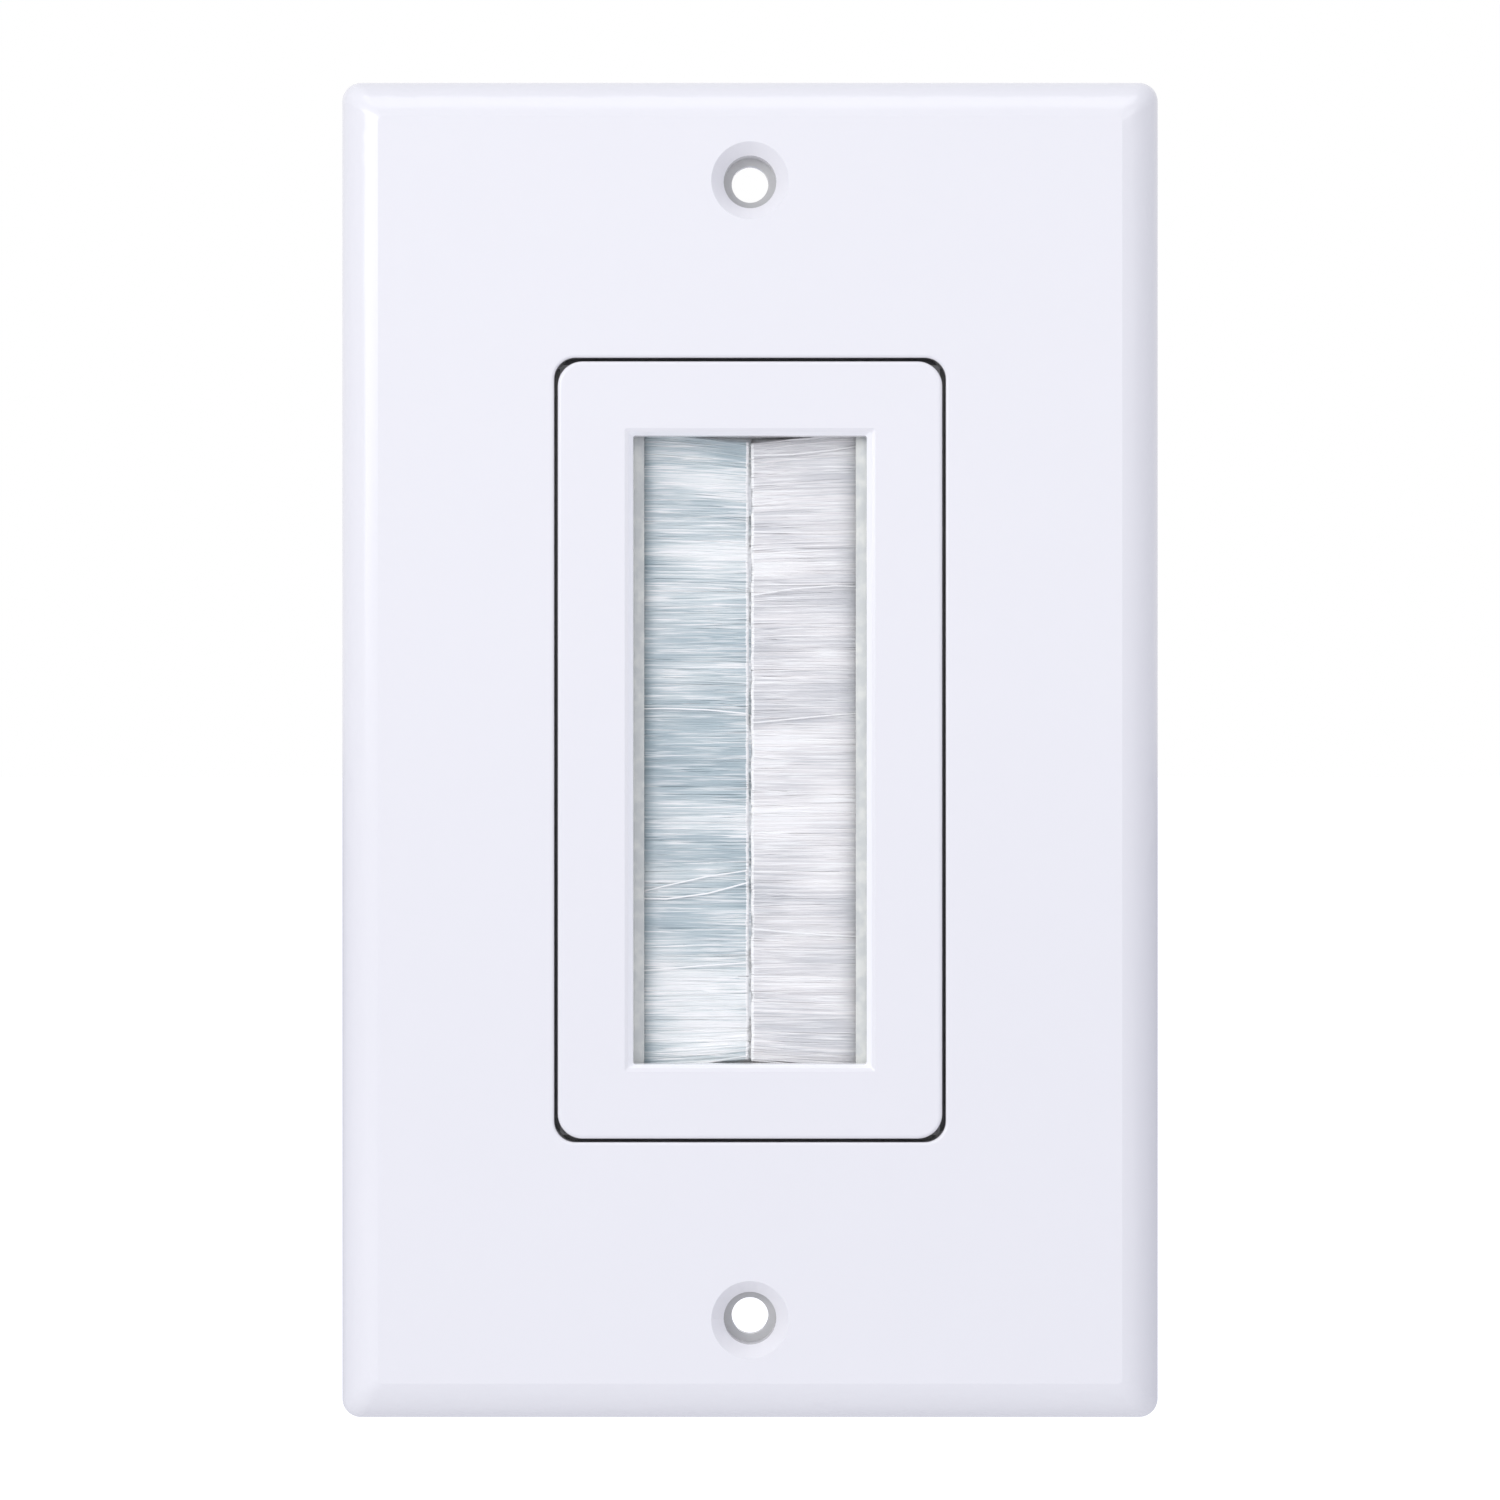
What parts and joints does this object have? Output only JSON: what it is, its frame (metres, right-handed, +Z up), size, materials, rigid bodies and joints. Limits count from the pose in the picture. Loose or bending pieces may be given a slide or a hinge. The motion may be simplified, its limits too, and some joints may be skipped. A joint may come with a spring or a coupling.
{
  "type": "brush wall plate",
  "caption": "One-gang wall plate with an insert whose window is closed by two facing rows of nylon bristles, which let cables pass through the wall and keep dust and draughts out.",
  "frame": {"origin": "midway between the two box screw holes, on the back of the insert's strap, which lies in the wall plane", "axes": "+Z up along the plate's length, +X to the right seen from the room, +Y into the wall, so the front faces -Y"},
  "size_m": [0.0698, 0.0089, 0.1142],
  "materials": {
    "plate_plastic": "smooth moulded white plastic with a soft satin gloss",
    "insert_plastic": "smooth moulded white plastic with a soft satin gloss",
    "channel_metal": "satin folded aluminium strip with fine lines along its length",
    "wire_steel": "drawn steel wire",
    "nylon_filament": "translucent white nylon filaments, fine and slightly uneven",
    "retainer_plastic": "plain moulded white plastic, matte",
    "screw_steel": "zinc plated steel"
  },
  "bodies": {
    "root": {"wall_plate": "plate_plastic", "insert_frame": "insert_plastic", "left_brush_channel": "channel_metal", "right_brush_channel": "channel_metal", "left_core_wire": "wire_steel", "right_core_wire": "wire_steel", "left_bristles": "nylon_filament", "right_bristles": "nylon_filament", "rear_retainer": "retainer_plastic", "retainer_screw_1": "screw_steel", "retainer_screw_2": "screw_steel", "retainer_screw_3": "screw_steel", "retainer_screw_4": "screw_steel"}
  },
  "joints": []
}
